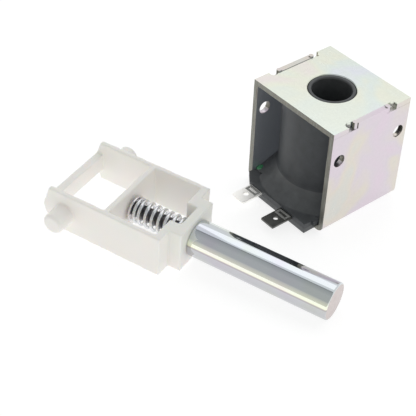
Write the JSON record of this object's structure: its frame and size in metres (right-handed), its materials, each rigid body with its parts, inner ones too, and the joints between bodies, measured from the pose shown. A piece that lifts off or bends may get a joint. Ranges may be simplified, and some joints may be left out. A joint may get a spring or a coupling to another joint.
{
  "type": "push pull solenoid",
  "caption": "Open box-frame push pull solenoid with two blade terminals; its round plunger, with a white fork and over-travel spring, is drawn out and laid beside it.",
  "frame": {"origin": "centre of the frame's underside, on the bore axis", "axes": "+Z along the bore, out of its mouth; the open front with the two terminals faces -Y; the side plates face +X and -X. The plunger lies on the same floor, its axis 19.7 degrees from +X towards +Y, rod end last, dipping 1.7 degrees towards the rod end."},
  "size_m": [0.106, 0.1154, 0.0435],
  "materials": {
    "plated_steel": "bright zinc plating with a faint lilac and yellow passivation tint",
    "plated_steel_pale": "bright zinc plating with a faint mint tint",
    "black_plastic": "black moulded plastic, satin",
    "coil_black": "black moulded coil cover, satin",
    "copper_wire": "enamelled copper wire",
    "core_steel": "plain turned steel",
    "tinned_brass": "bright tin plating on brass",
    "plunger_steel": "turned and ground steel, bright plated",
    "washer_steel": "bright zinc plating",
    "spring_steel": "bright zinc plated spring wire",
    "white_nylon": "natural white nylon, slightly translucent"
  },
  "bodies": {
    "coil_unit": {"frame": "plated_steel", "top_plate": "plated_steel_pale", "bobbin": "black_plastic", "winding": "copper_wire", "coil_cover": "coil_black", "fixed_core": "core_steel", "terminal_left": "tinned_brass", "terminal_right": "tinned_brass"},
    "plunger_rod": {"plunger": "plunger_steel"},
    "seat": {"spring_seat": "washer_steel", "spring": "spring_steel"},
    "fork_body": {"fork": "white_nylon"}
  },
  "joints": [
    {"name": "plunger_stroke_laid_out", "type": "slide", "parent": "coil_unit", "child": "plunger_rod", "axis": [0.9415, 0.3371, 0], "range_m": [0, 0.02]},
    {"name": "seat_turn", "type": "hinge", "parent": "plunger_rod", "child": "seat", "pos_m": [-0.02104, -0.0682, 0.00893], "axis": [0.941, 0.3369, -0.0299], "continuous": true},
    {"name": "fork_over_travel", "type": "slide", "parent": "seat", "child": "fork_body", "axis": [-0.941, -0.3369, 0.0299], "range_m": [0, 0.005], "stiffness_N_per_m": 8200, "springref_m": -0.002, "deforming": ["spring"]}
  ]
}
